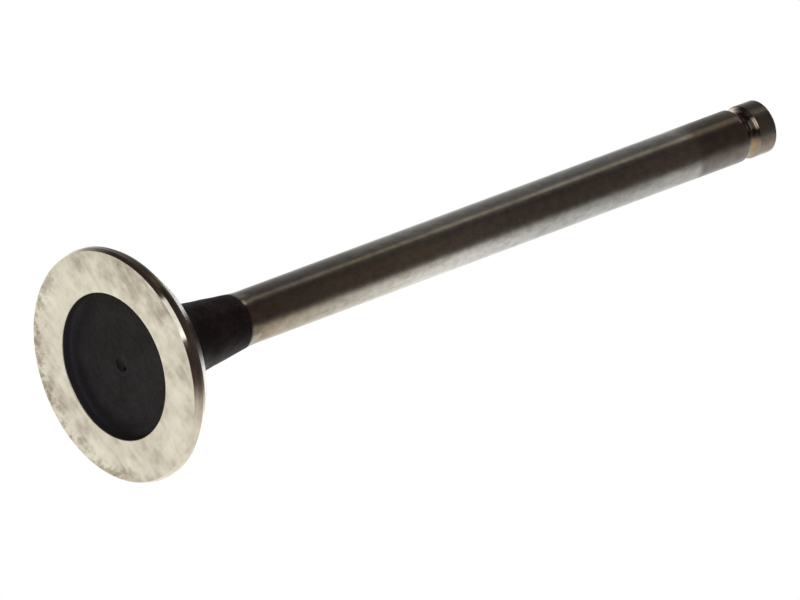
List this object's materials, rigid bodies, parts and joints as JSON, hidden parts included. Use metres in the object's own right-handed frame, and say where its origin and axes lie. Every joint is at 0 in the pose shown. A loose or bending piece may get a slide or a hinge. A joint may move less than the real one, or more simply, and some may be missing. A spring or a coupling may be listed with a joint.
{
  "type": "engine valve",
  "caption": "Poppet exhaust valve with a dished flat head, ground seat, tapered neck, straight stem and a round keeper groove near the tip.",
  "frame": {"origin": "centre of the flat combustion face, which is the plane Z = 0 that the valve stands on", "axes": "+Z along the stem, from the head to the tip; the part is round about Z, so X and Y are free"},
  "size_m": [0.0308, 0.0308, 0.1114],
  "materials": {
    "valve_steel": "ground bright stem, seat and face ring; black forged skin on the neck, underhead and dish; brown hardened tip"
  },
  "bodies": {
    "root": {"valve": "valve_steel"}
  },
  "joints": []
}
